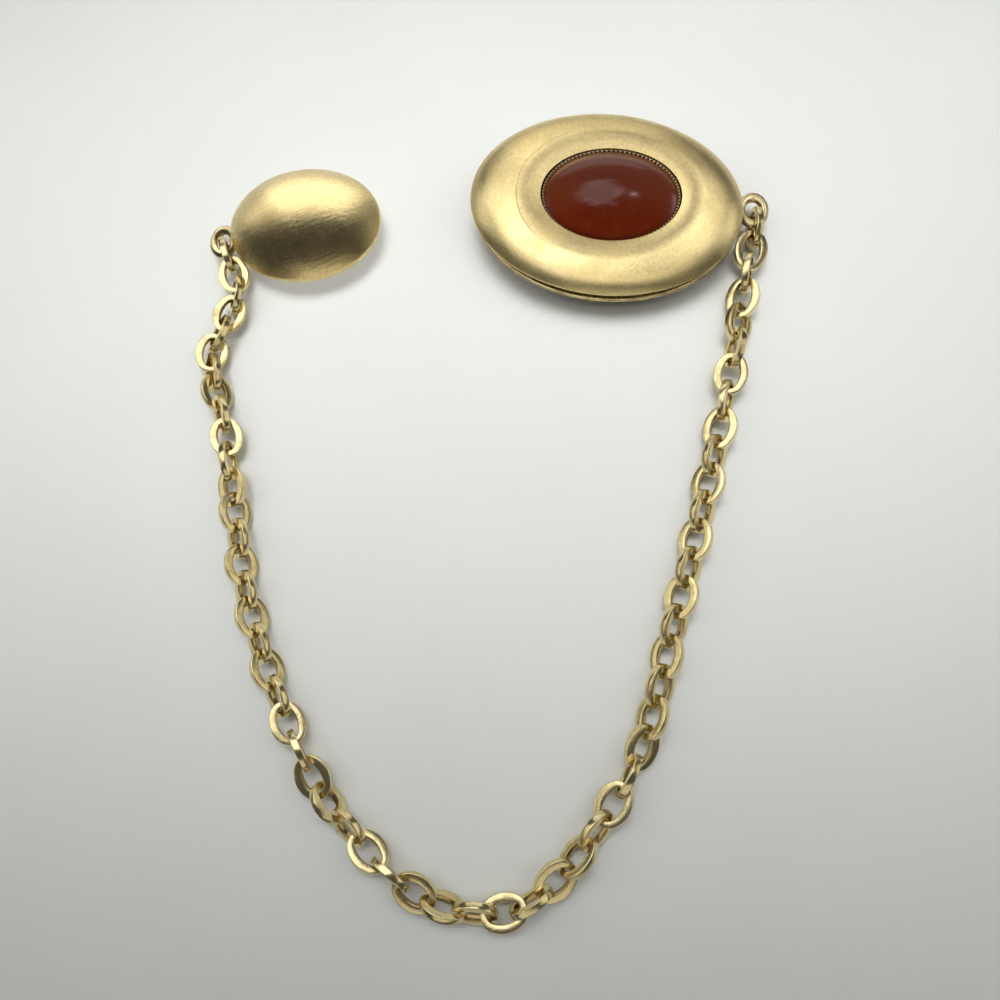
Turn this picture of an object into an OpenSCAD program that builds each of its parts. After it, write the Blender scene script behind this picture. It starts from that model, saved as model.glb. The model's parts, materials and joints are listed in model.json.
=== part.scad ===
// Two oval brooches joined by a cable chain, lying on a table with the chain in a long bow.
// The large brooch carries an oval cabochon in a hollow domed face, and the small one is a plain dome.
// Millimetres, +Z up, the table is z = 0, and the origin is under the middle of the whole piece.

/* [Large brooch] */
// Width of the large brooch across its short axis
plaque_w = 35.6; // [35:0.1:36]
// Its length over its width
plaque_ratio = 1.375; // [1.36:0.005:1.39]
// Radius of the gently domed face
face_r = 43; // [40:1:48]
// Radius of the rolled edge
roll_r = 1.9; // [1.8:0.1:2]
// Height of the widest line of the rolled edge above the table
plaque_edge_z = 6.4; // [6.3:0.1:6.6]
// Thickness of the sheet metal of both faces
wall = 0.8; // [0.6:0.1:0.9]
// Height of the underside of the large back plate
large_back_z = 3; // [2.9:0.1:3.1]
// How far the rim of the large back plate lies inside the face's widest line
rim_inset = 0.7; // [0.6:0.1:0.9]

/* [Stone] */
// Length of the cabochon
stone_l = 24.9; // [24.6:0.1:25]
// Width of the cabochon
stone_w = 18; // [17.8:0.1:18.2]
// Height of the dome above the girdle
stone_rise = 4.6; // [4:0.1:5]
// Height of the girdle above the table
girdle_z = 8.3; // [8.1:0.1:8.5]
// How far the stone sits towards the chain from the middle of the face
stone_shift = 1.1; // [0.8:0.1:1.3]
// Turn of the stone against the face, in degrees
stone_turn = 4; // [0:1:5]

/* [Small brooch] */
// Width of the small brooch across its short axis
dome_w = 23.1; // [22.8:0.1:23.4]
// Its length over its width
dome_ratio = 1.268; // [1.25:0.002:1.28]
// Radius of the dome across its short axis
dome_r = 14; // [13.5:0.5:16]
// Radius of the edge that turns the dome in
dome_roll_r = 1.2; // [1.1:0.1:1.3]
// Height of the widest line of the edge above the table
dome_edge_z = 4.2; // [4.1:0.1:4.4]
// Height of the underside of the small back plate
small_back_z = 3; // [2.9:0.1:3.1]

/* [Chain] */
// Length of a link
link_l = 7.6; // [7.55:0.05:7.65]
// Width of a link
link_w = 5.8; // [5.7:0.05:5.9]
// Width of a link's wire, seen from the flat of the link
band = 1.05; // [1:0.05:1.1]
// Thickness of a link's wire across the flat of the link
thick = 1.15; // [1.1:0.05:1.2]
// Bevel on the edges of the wire
bevel = 0.2; // [0.15:0.05:0.3]
// Radius of the middle line of the wire round a link's ends
end_r = 2; // [1.95:0.05:2.05]
// How far a flat link hangs below the middles of its neighbours
sag = 0.15; // [0.1:0.05:0.25]

/* [Fittings] */
// Wire of the oval loops soldered to the brooches
loop_wire = 1.45; // [1.3:0.05:1.45]
// Outer width of a loop
loop_w = 5.5; // [5.4:0.05:5.6]
// Its length over its width
loop_ratio = 1.26; // [1.2:0.02:1.3]
// Wire of the pin stems
stem_wire = 0.9; // [0.8:0.1:1]
// Gap between pieces that are set into each other
gap = 0.12; // [0.1:0.02:0.14]

/* [Hidden] */
$fn = 96;
gold = "#c9a75a";
dark_gold = "#a98a45";
carnelian = "#6d2413";

// Middles and turns of the two brooches on the table.
plaque_at = [23.55, 52.05];
plaque_turn = -12;
dome_at = [-32.55, 52.25];
dome_turn = 0;

// A dome's arc runs into the edge roll without a corner: where the arc's middle lies, and the angle
// from the vertical at which the two meet.
function arc_z(edge_z, x, big, small) = edge_z - sqrt(pow(big - small, 2) - pow(x, 2));
function meeting(x, big, small) = asin(x / (big - small));
roll_x = plaque_w / 2 - roll_r;
face_z = arc_z(plaque_edge_z, roll_x, face_r, roll_r);
face_end = meeting(roll_x, face_r, roll_r);
dome_roll_x = dome_w / 2 - dome_roll_r;
dome_z = arc_z(dome_edge_z, dome_roll_x, dome_r, dome_roll_r);
dome_end = meeting(dome_roll_x, dome_r, dome_roll_r);
// Both edges turn in under the face as far as this, from the vertical.
roll_end = 150;

// The setting and the opening round it.
cup_wall = 0.35;
cup_w = stone_w + 2 * (gap + cup_wall);
cup_ratio = (stone_l + 2 * (gap + cup_wall)) / cup_w;
cup_lip = 0.15;
stone_base = 1;
opening_w = cup_w + 2 * gap;
opening_ratio = (cup_ratio * cup_w + 2 * gap) / opening_w;
// The lip slopes from its crest down to the mouth, which covers the setting and holds the stone.
mouth_w = stone_w - 0.1;
mouth_ratio = (stone_l - 0.1) / mouth_w;
lip_w = 1.6;
lip_drop = 0.85;
lip_z = face_z + sqrt(pow(face_r, 2) - pow(mouth_w / 2 + lip_w, 2)) - lip_drop;
// Angle from the vertical at which the face's section starts, well inside the opening.
face_start = 9;
// A collar hangs under the lip, and the opening is cut through it.
collar_h = 2.4;
collar_low = lip_z - 2;
collar_in = opening_w / 2 - 2;
collar_out = opening_w / 2 + 2.5;
cut_h = 20;

// The back plates. The large one has a beaded rim.
plate_h = 0.8;
rim_w = plaque_w - 2 * rim_inset;
rim_ratio = (plaque_w * plaque_ratio - 2 * rim_inset) / rim_w;
bead_r = plate_h / 2;
// The hoop stands on the large back plate and holds the face's turned edge.
hoop_out = roll_x + 0.2;
hoop_wall = 0.7;
hoop_top = plaque_edge_z - 0.8;
small_plate_w = 2 * (dome_roll_x + 0.05);
small_plate_h = 0.7;

// How far soldered pieces run into each other.
solder_lap = 0.2;

// How far a wall, and a bend of a link, runs into the next one round the curve, in degrees.
wall_lap = 0.02;
bend_lap = 0.2;

// A full turn of a profile, in quarters.
module full_turn() for (from = [0:90:270]) rotate_extrude(angle = 90, start = from) children();

// A curved wall in section, from one angle to another, both from the vertical.
module curved_wall(x, z, outer_r, from, to) {
  steps = 6;
  turn = (to - from + 2 * wall_lap) / steps;
  rim = [for (i = [0:steps]) let (t = from - wall_lap + i * turn) [x, z] + 2 * outer_r * [sin(t), cos(t)]];
  intersection() {
    difference() {
      translate([x, z]) circle(outer_r, $fn = 360);
      translate([x, z]) circle(outer_r - wall, $fn = 360);
    }
    polygon(concat([[x, z]], rim));
  }
}

module on_plaque() translate([plaque_at[0], plaque_at[1], 0]) rotate([0, 0, plaque_turn]) children();

module on_dome() translate([dome_at[0], dome_at[1], 0]) rotate([0, 0, dome_turn]) children();

module at_stone() on_plaque() translate([stone_shift, 0, 0]) rotate([0, 0, stone_turn]) children();

// An upright oval disc.
module disc(w, ratio, low, high) scale([ratio, 1, 1]) translate([0, 0, low]) cylinder(d = w, h = high - low);

// The opening is cut in each quarter of the face.
module large_shell() color(gold) for (from = [0:90:270]) difference() {
  on_plaque() scale([plaque_ratio, 1, 1]) rotate_extrude(angle = 90, start = from) {
    curved_wall(0, face_z, face_r, face_start, face_end);
    curved_wall(roll_x, plaque_edge_z, roll_r, face_end, roll_end);
    translate([collar_in, collar_low]) square([collar_out - collar_in, collar_h]);
  }
  at_stone() {
    disc(opening_w, opening_ratio, 0, girdle_z + cup_lip + gap);
    disc(mouth_w, mouth_ratio, 0, cut_h);
    scale([mouth_ratio, 1, 1]) translate([0, 0, lip_z])
      cylinder(d1 = mouth_w, d2 = mouth_w + 4 * lip_w, h = 2 * lip_drop);
  }
}

module stone_cup() color(dark_gold) at_stone() difference() {
  low = girdle_z - stone_base - gap - cup_wall;
  disc(cup_w, cup_ratio, low, girdle_z + cup_lip);
  disc(stone_w + 2 * gap, (stone_l + 2 * gap) / (stone_w + 2 * gap), low + cup_wall, girdle_z + cup_lip + 1);
}

// Flat base, short upright girdle and a round dome, stretched to an oval.
module stone() color(carnelian) at_stone() {
  dome = (pow(stone_w / 2, 2) + pow(stone_rise, 2)) / (2 * stone_rise);
  top = girdle_z + stone_rise;
  scale([stone_l / stone_w, 1, 1]) full_turn() intersection() {
    translate([0, top - dome]) circle(dome, $fn = 180);
    translate([0, girdle_z - stone_base]) square([stone_w / 2, stone_base + stone_rise + 1]);
  }
}

// The two loops, and the stub of wire that runs from each under its brooch.
large_loop_at = [50.2, 50.7, 3.4];
small_loop_at = [-49.4, 50.7, 2.3];
stub_wire = loop_wire - 0.3;
stub_l = 5;

// An oval loop that lies level at a place, with its stub.
module loop(at, stub_turn) translate(at) {
  turn_r = (loop_w - loop_wire) / 2;
  scale([1, loop_ratio, 1]) full_turn() translate([turn_r, 0]) circle(d = loop_wire);
  rotate([0, 90, stub_turn]) translate([0, 0, turn_r]) cylinder(d = stub_wire, h = stub_l);
}

module large_back() color(dark_gold) {
  on_plaque() {
    scale([rim_ratio, 1, 1]) full_turn() {
      translate([0, large_back_z]) square([rim_w / 2 - bead_r, plate_h]);
      translate([rim_w / 2 - bead_r, large_back_z + bead_r]) circle(bead_r);
      translate([hoop_out - hoop_wall, large_back_z]) square([hoop_wall, hoop_top - large_back_z]);
    }
  }
  loop(large_loop_at, 180 + plaque_turn);
}

module small_shell() color(gold) on_dome() scale([dome_ratio, 1, 1]) full_turn() {
  curved_wall(0, dome_z, dome_r, wall_lap, dome_end);
  curved_wall(dome_roll_x, dome_edge_z, dome_roll_r, dome_end, roll_end);
}

// A pad under the small back plate carries the stub of its loop.
module small_back() color(dark_gold) {
  pad_l = 3;
  pad_w = 2.4;
  pad_from_loop = 4.5;
  on_dome() disc(small_plate_w, dome_ratio, small_back_z, small_back_z + small_plate_h);
  loop(small_loop_at, 0);
  translate(small_loop_at + [pad_from_loop, -pad_w / 2, 0])
    cube([pad_l, pad_w, small_back_z + solder_lap - small_loop_at[2]]);
}

// Plain pin fitting: a bar under the back plate with a post at each end, and the stem between them.
module pin(back_z, span) {
  bar_h = 0.5;
  bar_w = 3;
  post_l = 2.4;
  low = back_z - gap - bar_h;
  post_h = low + solder_lap;
  stem_z = 0.35 + stem_wire / 2;
  stem_l = span - 2;
  translate([-span / 2, -bar_w / 2, low]) cube([span, bar_w, bar_h]);
  for (side = [-1, 1]) translate([side * (span - post_l) / 2, 0, post_h / 2])
    cube([post_l, bar_w, post_h], center = true);
  translate([-stem_l / 2, 0, stem_z]) rotate([0, 90, 0]) cylinder(d = stem_wire, h = stem_l);
}

large_pin_l = 30;
small_pin_l = 17;

module large_pin() color(dark_gold) on_plaque() pin(large_back_z, large_pin_l);

module small_pin() color(dark_gold) on_dome() pin(small_back_z, small_pin_l);

// Route of the chain: the number of a link, and where its middle lies on the table.
//        link    x      y
route = [[1,   -48.1,  47.5],
         [3,   -46.0,  39.4],
         [6,   -50.1,  27.9],
         [8,   -48.5,  20.0],
         [10,  -45.9,  11.3],
         [13,  -43.3,  -2.7],
         [16,  -40.5, -16.7],
         [20,  -33.7, -34.6],
         [24,  -23.8, -51.5],
         [28,   -9.2, -64.7],
         [31,    5.1, -67.3],
         [34,   16.7, -58.8],
         [38,   27.3, -42.1],
         [42,   33.2, -23.0],
         [46,   38.7,  -3.9],
         [50,   43.6,  15.3],
         [54,   47.7,  34.4],
         [57,   50.4,  47.5]];

// Lean of each link about its own length, in degrees: 0 is flat on the table, 90 stands on edge, and
// a positive lean lifts the side that faces the inside of the bow.
lean = [84, -5, 55, -12, 45, -20, 42, -50, 52, -20,
        -88, 20, -50, 38, -45, 40, -45, 42, -45, 45,
        -25, 72, 0, -65, 45, -30, 72, 5, -65, 48,
        -15, -80, 16, -50, 52, -18, -86, 30, -45, 42,
        -40, 45, -32, 48, -32, 48, -32, 48, -25, 65,
        -2, -72, 38, -25, 75, 5, -80];
links = len(lean);
chain_split = 28;

// A smooth curve through the route, with the link number as its parameter.
function knot(i) = [route[i][1], route[i][2]];
function pull(i) = let (a = max(i - 1, 0), b = min(i + 1, len(route) - 1))
  (knot(b) - knot(a)) / (route[b][0] - route[a][0]);
function stretch(n) = max([for (i = [0:len(route) - 2]) if (route[i][0] <= n) i]);
function place(n) = let (
    i = stretch(n),
    run = route[i + 1][0] - route[i][0],
    s = (n - route[i][0]) / run
  ) knot(i) * (2 * pow(s, 3) - 3 * pow(s, 2) + 1) + knot(i + 1) * (3 * pow(s, 2) - 2 * pow(s, 3))
    + pull(i) * run * (pow(s, 3) - 2 * pow(s, 2) + s) + pull(i + 1) * run * (pow(s, 3) - pow(s, 2));

// A leaning link rests on its lower side. A flatter one is held up by its neighbours.
function own_z(n) = link_w / 2 * abs(sin(lean[n - 1])) + thick / 2 * abs(cos(lean[n - 1]));
function link_z(n) = n == 1 || n == links ? own_z(n) : max(own_z(n), (own_z(n - 1) + own_z(n + 1)) / 2 - sag);
function middle(n) = concat(place(n), [link_z(n)]);
function ahead(n) = n == links ? large_loop_at : middle(n + 1);
function behind(n) = n == 1 ? small_loop_at : middle(n - 1);

// The wire of a link is four arcs that run into each other.
half_l = (link_l - band) / 2;
half_w = (link_w - band) / 2;
side_r = (pow(half_l, 2) + pow(half_w, 2) - 2 * half_l * end_r) / (2 * (half_w - end_r));
end_x = half_l - end_r;
side_y = side_r - half_w;
end_turn = atan2(side_y, end_x);

module wire_section() {
  x = band / 2;
  z = thick / 2;
  polygon([[x - bevel, -z], [x, bevel - z], [x, z - bevel], [x - bevel, z],
           [bevel - x, z], [-x, z - bevel], [-x, bevel - z], [bevel - x, -z]]);
}

module bend(at, r, from, turn) translate(at)
  rotate_extrude(angle = turn + 2 * bend_lap, start = from - bend_lap) translate([r, 0]) wire_section();

module link() {
  bend([end_x, 0], end_r, -end_turn, 2 * end_turn);
  bend([0, -side_y], side_r, end_turn, 180 - 2 * end_turn);
  bend([-end_x, 0], end_r, 180 - end_turn, 2 * end_turn);
  bend([0, side_y], side_r, 180 + end_turn, 180 - 2 * end_turn);
}

// Links from one number to another, each on the line between its neighbours.
module chain(from, to) for (n = [from:to]) {
  u = ahead(n) - behind(n);
  heading = atan2(u[1], u[0]);
  rise = atan2(u[2], norm([u[0], u[1]]));
  translate(middle(n)) rotate([lean[n - 1], -rise, heading]) link();
}

module chain_left() color(gold) chain(1, chain_split);

module chain_right() color(gold) chain(chain_split + 1, links);

large_shell();
stone_cup();
stone();
large_back();
large_pin();
small_shell();
small_back();
small_pin();
chain_left();
chain_right();
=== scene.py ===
"""The looks of two oval brooches joined by a cable chain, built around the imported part.

Meshes are shaped in millimetres in the part's frame, +Z up with the table at z = 0 and the origin
under the middle of the whole piece, and are turned into metres when their objects are made.
"""

from __future__ import annotations

import json
import logging
import math
from dataclasses import dataclass
from enum import Enum
from typing import Callable, Iterable, Sequence

import bmesh
import bpy
import numpy as np
from bmesh.types import BMesh
from bpy.types import Material, NodeSocket as Socket, NodeTree as Tree, Object
from mathutils import Matrix, Vector
from mathutils.geometry import interpolate_bezier

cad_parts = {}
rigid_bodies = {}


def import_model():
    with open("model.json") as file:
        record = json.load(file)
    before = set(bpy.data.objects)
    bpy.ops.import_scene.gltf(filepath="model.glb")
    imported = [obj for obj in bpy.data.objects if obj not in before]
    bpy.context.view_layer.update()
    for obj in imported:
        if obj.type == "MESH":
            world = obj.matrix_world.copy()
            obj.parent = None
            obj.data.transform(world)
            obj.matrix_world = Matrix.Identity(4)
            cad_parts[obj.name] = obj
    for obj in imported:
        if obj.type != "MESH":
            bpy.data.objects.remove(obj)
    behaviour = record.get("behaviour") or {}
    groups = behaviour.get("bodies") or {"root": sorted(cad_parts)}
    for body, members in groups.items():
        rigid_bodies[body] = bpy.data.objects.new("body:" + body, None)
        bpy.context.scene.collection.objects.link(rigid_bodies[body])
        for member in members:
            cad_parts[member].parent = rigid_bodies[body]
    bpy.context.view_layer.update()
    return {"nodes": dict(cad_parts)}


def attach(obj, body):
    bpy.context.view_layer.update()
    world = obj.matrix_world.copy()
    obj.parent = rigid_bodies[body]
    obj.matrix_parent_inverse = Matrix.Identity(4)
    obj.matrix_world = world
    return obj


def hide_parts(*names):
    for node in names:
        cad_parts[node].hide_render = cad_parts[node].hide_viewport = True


LOG = logging.getLogger("brooch")
MM = 0.001
FULL_TURN = 2 * math.pi
Colour = tuple[float, float, float]
Place = tuple[float, float, float]
Spot = tuple[float, float]
Sockets = bpy.types.bpy_prop_collection

# Middles of the two brooches and of the stone on the table, in millimetres.
LARGE_AT: Spot = (23.55, 52.05)
SMALL_AT: Spot = (-32.55, 52.25)
STONE_AT: Spot = (24.63, 51.82)


class Slot(Enum):
    """The record's material slots."""

    SATIN = "satin_gold"
    POLISHED = "polished_gold"
    DARK = "dark_gold"
    STONE = "red_brown_stone"


class Nodes:
    """A node tree while it is being laid out."""

    def __init__(self, tree: Tree) -> None:
        """Takes the tree."""
        self.tree = tree

    def feed(self, node: bpy.types.Node, inputs: dict[str | int, object]) -> None:
        """Feeds inputs of a node.

        Args:
            node: The node.
            inputs: A value, a colour or an output for each input, by the input's name or number.
        """
        for label, value in inputs.items():
            socket = node.inputs[label]
            if isinstance(value, Socket):
                self.tree.links.new(value, socket)
            elif socket.type == "RGBA":
                socket.default_value = (*value, 1.0)
            else:
                socket.default_value = value

    def add(self, kind: str, inputs: dict[str | int, object], **settings: object) -> bpy.types.Node:
        """Adds a node.

        Args:
            kind: Its type.
            inputs: What feeds its inputs.
            **settings: Values for its own properties.

        Returns:
            The node.
        """
        node = self.tree.nodes.new(f"ShaderNode{kind}")
        for label, value in settings.items():
            setattr(node, label, value)
        self.feed(node, inputs)
        return node

    def maths(self, operation: str, first: object, second: object) -> Socket:
        """One arithmetic step, on outputs or numbers."""
        return self.add("Math", {0: first, 1: second}, operation=operation).outputs[0]


class Groups:
    """Shader node groups that several finishes share. Each is built once."""

    def __init__(self) -> None:
        """Starts with no group built."""
        self._built: dict[str, Tree] = {}

    def _shared(self, name: str, numbers: dict[str, float], result: str,
                lay: Callable[[Nodes, Sockets], Socket]) -> Tree:
        """Builds a group that takes a Vector and some numbers, or finds it if it is built.

        Args:
            name: The group's name.
            numbers: The default of each number.
            result: The output's name.
            lay: Lays out the nodes between the given sockets and the output.

        Returns:
            The group.
        """
        if name not in self._built:
            tree = bpy.data.node_groups.new(name, "ShaderNodeTree")
            tree.interface.new_socket("Vector", in_out="INPUT", socket_type="NodeSocketVector")
            for label, default in numbers.items():
                socket = tree.interface.new_socket(label, in_out="INPUT", socket_type="NodeSocketFloat")
                socket.default_value = default
            tree.interface.new_socket(result, in_out="OUTPUT", socket_type="NodeSocketFloat")
            given, out = tree.nodes.new("NodeGroupInput"), tree.nodes.new("NodeGroupOutput")
            tree.links.new(lay(Nodes(tree), given.outputs), out.inputs[result])
            self._built[name] = tree
        return self._built[name]

    def grain(self) -> Tree:
        """A fine granular surface, as sand blasting leaves it.

        Returns:
            The group: Vector and Scale in, Height out.
        """
        def lay(nodes: Nodes, given: Sockets) -> Socket:
            """Mixes a coarse and a fine noise."""
            coarse = nodes.add("TexNoise", {"Vector": given["Vector"], "Scale": given["Scale"],
                                            "Detail": 3.0, "Roughness": 0.65})
            fine = nodes.add("TexNoise", {"Vector": given["Vector"], "Detail": 1.0,
                                          "Scale": nodes.maths("MULTIPLY", given["Scale"], 3.1)})
            return nodes.add("Mix", {0: 0.4, 2: coarse.outputs["Fac"], 3: fine.outputs["Fac"]},
                             data_type="FLOAT").outputs[0]
        return self._shared("fine_grain", {"Scale": 6.0}, "Height", lay)

    def brushing(self) -> Tree:
        """Fine parallel lines along X, broken up along their length.

        Returns:
            The group: Vector, Scale and Length in, Height out.
        """
        def lay(nodes: Nodes, given: Sockets) -> Socket:
            """Draws a noise out along X."""
            apart = nodes.add("SeparateXYZ", {0: given["Vector"]}).outputs
            drawn = nodes.add("CombineXYZ", {"X": nodes.maths("DIVIDE", apart["X"], given["Length"]),
                                             "Y": apart["Y"], "Z": apart["Z"]})
            return nodes.add("TexNoise", {"Vector": drawn.outputs[0], "Scale": given["Scale"],
                                          "Detail": 4.0, "Roughness": 0.7}).outputs["Fac"]
        return self._shared("brush_lines", {"Scale": 4.0, "Length": 30.0}, "Height", lay)

    def specks(self) -> Tree:
        """Small scattered spots, such as pits and dirt.

        Returns:
            The group: Vector, Scale, Size and Share in, Mask out.
        """
        def lay(nodes: Nodes, given: Sockets) -> Socket:
            """Picks a share of the cells and keeps a spot in the middle of each."""
            cells = nodes.add("TexVoronoi", {"Vector": given["Vector"], "Scale": given["Scale"]}).outputs
            picked = nodes.add("SeparateColor", {0: cells["Color"]}).outputs[0]
            near = nodes.add("MapRange", {"Value": cells["Distance"], "From Min": 0.0,
                                          "From Max": given["Size"], "To Min": 1.0, "To Max": 0.0},
                             interpolation_type="SMOOTHSTEP")
            return nodes.maths("MULTIPLY", nodes.maths("LESS_THAN", picked, given["Share"]),
                               near.outputs["Result"])
        return self._shared("specks", {"Scale": 0.5, "Size": 0.1, "Share": 0.3}, "Mask", lay)

    def clouds(self) -> Tree:
        """Soft uneven patches, such as tarnish or handling.

        Returns:
            The group: Vector, Scale, Low and High in, Mask out.
        """
        def lay(nodes: Nodes, given: Sockets) -> Socket:
            """Spreads a noise between two levels."""
            noise = nodes.add("TexNoise", {"Vector": given["Vector"], "Scale": given["Scale"],
                                           "Detail": 4.0, "Roughness": 0.6})
            return nodes.add("MapRange", {"Value": noise.outputs["Fac"], "From Min": given["Low"],
                                          "From Max": given["High"]},
                             interpolation_type="SMOOTHSTEP").outputs["Result"]
        return self._shared("soft_patches", {"Scale": 0.1, "Low": 0.4, "High": 0.65}, "Mask", lay)


GROUPS = Groups()


class Sheet(Nodes):
    """One material's node tree while it is being laid out."""

    def __init__(self, name: str) -> None:
        """Makes the material and its millimetre coordinates.

        Args:
            name: The material's name.
        """
        self.material = bpy.data.materials.new(name)
        self.material.use_nodes = True
        super().__init__(self.material.node_tree)
        self.shader = self.tree.nodes["Principled BSDF"]
        place = self.add("TexCoord", {}).outputs["Object"]
        scaled = self.add("VectorMath", {0: place, "Scale": 1 / MM}, operation="SCALE")
        self.millimetres = scaled.outputs[0]

    def turned(self, centre: Spot, degrees: float) -> Socket:
        """Coordinates turned about Z.

        Args:
            centre: The point to turn about, in millimetres.
            degrees: The turn.

        Returns:
            The turned vector's output.
        """
        return self.add("Mapping", {"Vector": self.millimetres, "Location": (*centre, 0.0),
                                    "Rotation": (0, 0, math.radians(degrees))},
                        vector_type="TEXTURE").outputs[0]

    def group(self, tree: Tree, vector: Socket, **values: float) -> Socket:
        """Places a shared group.

        Args:
            tree: The group.
            vector: The output that feeds its Vector.
            **values: Values for its other inputs.

        Returns:
            The group's output.
        """
        return self.add("Group", {"Vector": vector, **values}, node_tree=tree).outputs[0]

    def attribute(self, name: str) -> Socket:
        """The value of a vertex attribute."""
        return self.add("Attribute", {}, attribute_name=name).outputs["Fac"]

    def ranged(self, value: Socket, low: float, high: float, to_low: float, to_high: float) -> Socket:
        """Maps a value from one range to another, clamped."""
        return self.add("MapRange", {"Value": value, "From Min": low, "From Max": high,
                                     "To Min": to_low, "To Max": to_high}).outputs["Result"]

    def blend(self, share: Socket, first: object, second: object) -> Socket:
        """Mixes two colours, each a colour or an output.

        Args:
            share: The output that says how much of the second shows.
            first: The first.
            second: The second.

        Returns:
            The mixed colour's output.
        """
        return self.add("Mix", {0: share, 6: first, 7: second}, data_type="RGBA").outputs[2]

    def metal(self, colour: Socket, rough: Socket) -> None:
        """Makes the shader bare metal of a colour and a roughness."""
        self.feed(self.shader, {"Base Color": colour, "Roughness": rough, "Metallic": 1.0})

    def bumps(self, *layers: tuple[Socket, float]) -> None:
        """Stacks bumps and feeds the shader's normal.

        Args:
            *layers: A height output and its depth in millimetres, for each bump.
        """
        below = {}
        for height, depth in layers:
            bump = self.add("Bump", {"Strength": 1.0, "Distance": depth * MM, "Height": height, **below})
            below = {"Normal": bump.outputs["Normal"]}
        self.feed(self.shader, below)


@dataclass(frozen=True)
class SatinGold:
    """Sand-blasted and brushed gold plate, for the faces of both brooches.

    Args:
        name: The material's name.
        centre: The middle of the brooch, in millimetres.
        colour: The metal's colour.
        shade: Its colour where it is tarnished.
        brush_turn: The way the brush lines run, in degrees from +X.
        brush_depth: How deep they are, in millimetres.
        lines_show: How strongly they darken the metal.
        grain_depth: How deep the grain is, in millimetres.
        roughness: The lowest and highest roughness.
    """

    name: str
    centre: Spot
    colour: Colour = (0.81, 0.665, 0.335)
    shade: Colour = (0.58, 0.43, 0.18)
    pit: Colour = (0.12, 0.08, 0.04)
    brush_turn: float = -60.0
    brush_depth: float = 0.012
    lines_show: float = 0.15
    grain_depth: float = 0.03
    roughness: tuple[float, float] = (0.3, 0.44)

    def material(self) -> Material:
        """Builds the material.

        Returns:
            The material.
        """
        sheet = Sheet(self.name)
        here = sheet.turned(self.centre, self.brush_turn)
        grain = sheet.group(GROUPS.grain(), here, Scale=1.9)
        lines = sheet.group(GROUPS.brushing(), here, Scale=2.4, Length=18.0)
        patches = sheet.group(GROUPS.clouds(), here, Scale=0.16, Low=0.42, High=0.7)
        spots = sheet.group(GROUPS.specks(), here, Scale=0.3, Size=0.07, Share=0.5)
        colour = sheet.blend(sheet.maths("MULTIPLY", patches, 0.35), self.colour, self.shade)
        colour = sheet.blend(sheet.ranged(grain, 0.38, 0.58, 0.6, 0.0), colour, self.shade)
        colour = sheet.blend(sheet.ranged(lines, 0.34, 0.56, self.lines_show, 0.0), colour, self.shade)
        colour = sheet.blend(spots, colour, self.pit)
        uneven = sheet.maths("ADD", sheet.maths("MULTIPLY", grain, 0.6),
                             sheet.maths("MULTIPLY", patches, 0.4))
        sheet.metal(colour, sheet.ranged(uneven, 0.2, 0.8, *self.roughness))
        sheet.bumps((lines, self.brush_depth), (grain, self.grain_depth))
        return sheet.material


@dataclass(frozen=True)
class PlainGold:
    """Smooth gold plate, with painted shade in its recesses and darkened in patches.

    Args:
        name: The material's name.
        colour: The metal's colour.
        shade: Its colour for the painted shade in the recesses and where it is tarnished.
        roughness: The lowest and highest roughness.
        patches: Scale and lowest and highest level of the tarnished patches.
        worn: How strongly they show.
        painted_recess_shade: How strongly the painted shade shows where the "inner" attribute marks recesses.
        grain_scale: How fine the grain is.
        grain_depth: How deep it is, in millimetres.
        dent_depth: How deep the soft dents are, in millimetres.
    """

    name: str
    colour: Colour
    shade: Colour
    roughness: tuple[float, float]
    patches: tuple[float, float, float]
    worn: float
    painted_recess_shade: float
    grain_scale: float
    grain_depth: float
    dent_depth: float = 0.0

    def material(self) -> Material:
        """Builds the material.

        Returns:
            The material.
        """
        sheet = Sheet(self.name)
        here = sheet.millimetres
        grain = sheet.group(GROUPS.grain(), here, Scale=self.grain_scale)
        scale, low, high = self.patches
        patches = sheet.group(GROUPS.clouds(), here, Scale=scale, Low=low, High=high)
        colour = sheet.blend(sheet.maths("MULTIPLY", patches, self.worn), self.colour, self.shade)
        # Painted shade: the recesses marked by the "inner" attribute are darkened towards the shade colour.
        painted_recess_shade = sheet.ranged(sheet.attribute("inner"), 0.0, 1.0, 0.0, self.painted_recess_shade)
        colour = sheet.blend(painted_recess_shade, colour, self.shade)
        sheet.metal(colour, sheet.ranged(sheet.maths("ADD", grain, patches), 0.3, 1.4, *self.roughness))
        layers = [(grain, self.grain_depth)]
        if self.dent_depth:
            dents = sheet.group(GROUPS.clouds(), here, Scale=0.5, Low=0.3, High=0.75)
            layers.insert(0, (dents, self.dent_depth))
        sheet.bumps(*layers)
        return sheet.material


POLISHED_GOLD = PlainGold("polished_gold", (0.81, 0.69, 0.38), (0.4, 0.27, 0.1), (0.17, 0.3),
                          patches=(0.35, 0.45, 0.75), worn=0.5, painted_recess_shade=0.7, grain_scale=9.0,
                          grain_depth=0.003, dent_depth=0.012)
DARK_GOLD = PlainGold("dark_gold", (0.64, 0.53, 0.3), (0.2, 0.14, 0.07), (0.2, 0.38),
                      patches=(0.3, 0.35, 0.7), worn=0.6, painted_recess_shade=0.95, grain_scale=7.0, grain_depth=0.006)


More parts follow.
